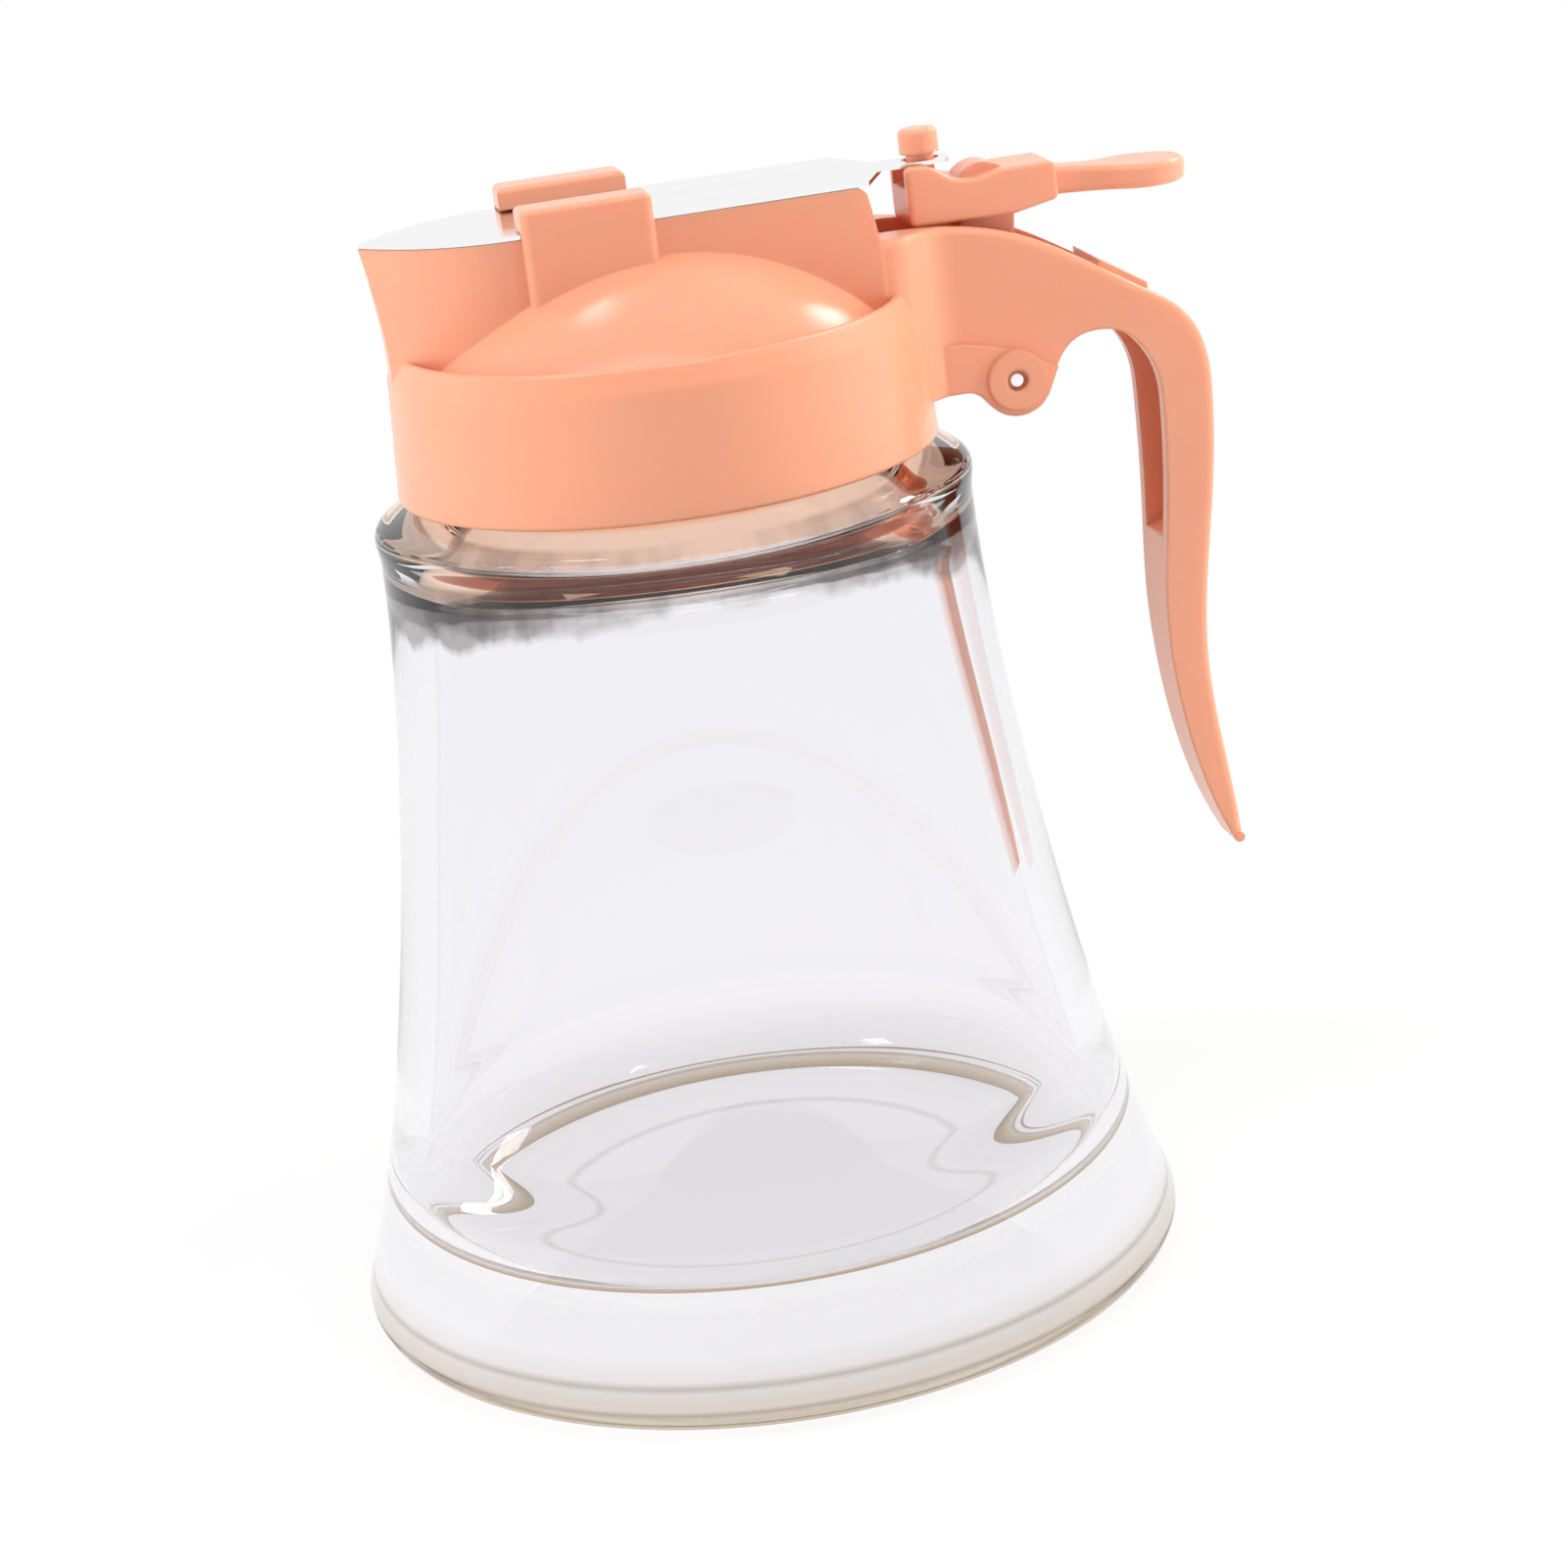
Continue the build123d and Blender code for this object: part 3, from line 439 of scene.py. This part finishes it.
def build_jar(glass, underside):
    """The jar as one closed surface, with an underside that shows no inner reflections."""
    outline = curve_through([(0, PUNT_HEIGHT), (STANDING_RADIUS, 0)], (1, 0), (1, -0.1), steps=12)
    for step in range(1, HEEL_STEPS + 1):
        angle = radians(-90 + HEEL_SWEEP * step / HEEL_STEPS)
        outline.append(
            Vector((FOOT_RADIUS + HEEL_ROUNDING * cos(angle), HEEL_ROUNDING * (1 + sin(angle))))
        )
    leaning_in, up, down, inward = (-0.34, 0.94), (0, 1), (0, -1), (-1, 0)
    outline += curve_through([outline[-1]] + OUTER_WALL + [WAIST], leaning_in, up, steps=24)[1:]
    neck = [
        WAIST, BEAD, BEAD_TOP, SHOULDER, (NECK_RADIUS, NECK_FOOT), (NECK_RADIUS, NECK_HEIGHT),
        (MOUTH_RADIUS, NECK_HEIGHT), (MOUTH_RADIUS, NECK_FOOT),
    ]
    outline += rounded(neck, SHOULDER_ROUNDING)[1:]
    outline += curve_through([neck[-1], INNER_WALL[0]], down, down, steps=20)[1:]
    outline += curve_through(INNER_WALL, down, down, steps=24)[1:]
    outline += curve_through([INNER_WALL[-1], (FLOOR_RADIUS, FLOOR_HEIGHT)], down, inward, steps=16)[1:]
    outline.append(Vector((0, FLOOR_HEIGHT)))
    jar = lathe("jar", outline)
    jar.data.materials.append(glass)
    jar.data.materials.append(underside)
    facing_down, underside_height = -0.97, 3 * MM
    for face in jar.data.polygons:
        if face.normal.z < facing_down and face.center.z < underside_height:
            face.material_index = 1
    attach(jar, "jar")
    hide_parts("glass_jar")


def thread(name, root, crest, start, turns, material, body, steps=48, fade_steps=6):
    """A screw thread's ridge on a round wall: it fades in and out at its ends."""
    work = bmesh.new()
    rows = []
    count = int(turns * steps)
    buried = root + (THREAD_BURIED if root > crest else -THREAD_BURIED)
    for step in range(count + 1):
        fade = min(1.0, step / fade_steps, (count - step) / fade_steps)
        fade = fade * fade * (3 - 2 * fade)
        angle = THREAD_ANGLE + 2 * pi * step / steps
        height = start + THREAD_PITCH * step / steps
        ridge = root + (crest - root) * fade
        below = [(buried, -THREAD_HALF_FOOT), (root, -THREAD_HALF_BASE), (ridge, -THREAD_HALF_CREST)]
        above = [(radius, -rise) for radius, rise in reversed(below)]
        rows.append([
            work.verts.new(on_cylinder(radius, angle, height + rise)) for radius, rise in below + above
        ])
    for row, after in zip(rows, rows[1:]):
        for k in range(len(row)):
            j = (k + 1) % len(row)
            work.faces.new((row[k], row[j], after[j], after[k]))
    work.faces.new(rows[0])
    work.faces.new(rows[-1][::-1])
    piece = object_from(name, work)
    piece.data.materials.append(material)
    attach(piece, body)


def dress(node, material):
    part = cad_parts[node]
    part.data.materials.clear()
    part.data.materials.append(material)


# Light, floor and background
WHITE = (1, 1, 1)
WARM = (1.0, 0.96, 0.90)
LAMPS = [
    # name, place, height aimed at, size, power, colour, seen in gloss and through glass
    ("left", (-0.75, -0.05, 0.20), 0.08, (0.35, 0.6), 3.9, WHITE, False),
    ("right", (0.70, -0.10, 0.25), 0.08, (0.35, 0.6), 4.3, WARM, False),
    ("front_top", (-0.05, -0.20, 0.64), 0.09, (0.9, 0.11), 2.1, WHITE, True),
    ("dome_window", (0.53, 0.38, 0.55), 0.09, (0.26, 0.16), 1.4, WHITE, True),
    ("dome_spot", (-0.15, 0.25, 0.84), 0.09, (0.12, 0.12), 0.5, WHITE, True),
]
DIFFUSE_LEVEL = 0.38
CAMERA_LEVEL = 1.03
THROUGH_STOPS = [
    (0.0, (0.30, 0.27, 0.25, 1)), (0.45, (0.34, 0.30, 0.28, 1)), (0.62, (0.62, 0.58, 0.57, 1)),
    (0.80, grey(0.95)),
]
MIRRORED_STOPS = [(0.0, grey(0.22)), (0.38, grey(0.30)), (0.50, grey(0.85)), (1.0, grey(0.95))]
FLOOR_SIZE = 8.0
FLOOR_DROP = 0.2 * MM
FLOOR_PAPER = grey(0.9)
FLOOR_WHITE = grey(1.0)
FLOOR_THROUGH_GLASS = (0.93, 0.925, 0.94, 1)
SHADOW_START, SHADOW_END = 0.08, 0.30
SHADOW_GLOW, PLAIN_GLOW = 0.75, 1.0


def area_light(name, place, aim_height, size, power, colour, shown):
    data = bpy.data.lights.new(name, "AREA")
    data.shape = "RECTANGLE"
    data.size, data.size_y = size
    data.energy = power
    data.color = colour
    lamp = bpy.data.objects.new(name, data)
    lamp.location = place
    towards = Vector((0, 0, aim_height)) - Vector(place)
    lamp.rotation_euler = towards.to_track_quat("-Z", "Y").to_euler()
    lamp.visible_glossy = shown
    lamp.visible_transmission = shown
    scene.collection.objects.link(lamp)


def build_world():
    """A studio: white behind the object, dimmer round the camera, and soft white for direct light."""
    world = bpy.data.worlds.new("studio")
    world.use_nodes = True
    scene.world = world
    nodes, links = world.node_tree.nodes, world.node_tree.links
    place = nodes.new("ShaderNodeTexCoord")
    behind = nodes.new("ShaderNodeVectorMath")
    behind.operation = "DOT_PRODUCT"
    behind.inputs[1].default_value = (sin(CAMERA_AZIMUTH), cos(CAMERA_AZIMUTH), 0)
    links.new(place.outputs["Generated"], behind.inputs[0])
    facing = map_range(nodes, links, behind.outputs["Value"], -1.0, 1.0, smooth=False)
    through = colour_stops(nodes, links, facing, THROUGH_STOPS)
    mirrored = colour_stops(nodes, links, facing, MIRRORED_STOPS)
    rays = nodes.new("ShaderNodeLightPath").outputs
    level = mixed(nodes, links, rays["Is Camera Ray"], grey(DIFFUSE_LEVEL), grey(CAMERA_LEVEL))
    level = mixed(nodes, links, rays["Is Glossy Ray"], level, mirrored)
    level = mixed(nodes, links, rays["Is Transmission Ray"], level, through)
    links.new(level, nodes["Background"].inputs["Color"])


def build_floor():
    """Pale paper that takes the object's shadow near it and is plain white further out."""
    bpy.ops.mesh.primitive_plane_add(size=FLOOR_SIZE, location=(0, 0, -FLOOR_DROP))
    floor = bpy.context.object
    floor.name = "floor"
    material, nodes, links, shader = new_material("floor_paper")
    set_sockets(shader, {"Base Color": FLOOR_PAPER, "Roughness": 0.9, "Specular IOR Level": 0.1})
    rays = nodes.new("ShaderNodeLightPath").outputs
    glow = nodes.new("ShaderNodeEmission")
    level = mixed(nodes, links, rays["Is Transmission Ray"], FLOOR_WHITE, FLOOR_THROUGH_GLASS)
    links.new(level, glow.inputs["Color"])
    place = nodes.new("ShaderNodeTexCoord")
    reach = nodes.new("ShaderNodeVectorMath")
    reach.operation = "LENGTH"
    links.new(place.outputs["Object"], reach.inputs[0])
    white = map_range(
        nodes, links, reach.outputs["Value"], SHADOW_START, SHADOW_END,
        SHADOW_GLOW, PLAIN_GLOW, smooth=False,
    )
    seen = maths(nodes, links, "MAXIMUM", rays["Is Camera Ray"], rays["Is Glossy Ray"])
    seen = maths(nodes, links, "MAXIMUM", seen, rays["Is Transmission Ray"])
    share = maths(nodes, links, "MULTIPLY", seen, white)
    shader_mix(nodes, links, share, shader.outputs["BSDF"], glow.outputs["Emission"])
    floor.data.materials.append(material)


build_camera()
build_world()
build_floor()
for lamp in LAMPS:
    area_light(*lamp)

plastic = peach_plastic("peach_plastic")
metal = steel("steel")
for node in ("lid_body", "thumb_lever", "blade_peg"):
    dress(node, plastic)
for node in ("pivot_pin", "return_spring", "cutter_blade"):
    dress(node, metal)
dress("mouth_gasket", silicone("silicone"))
dress("glass_jar", clear_glass("glass_core"))
glass = clear_glass("clear_glass")
build_jar(glass, clear_glass("clear_glass_underside", ior=1.04, tinted=False))
thread(
    "neck_thread", NECK_RADIUS, NECK_RADIUS + THREAD_DEPTH, THREAD_START, NECK_TURNS,
    glass, "jar",
)
thread(
    "skirt_thread", SKIRT_RADIUS, SKIRT_RADIUS - THREAD_DEPTH, THREAD_START + THREAD_PITCH / 2, SKIRT_TURNS,
    plastic, "lid",
)
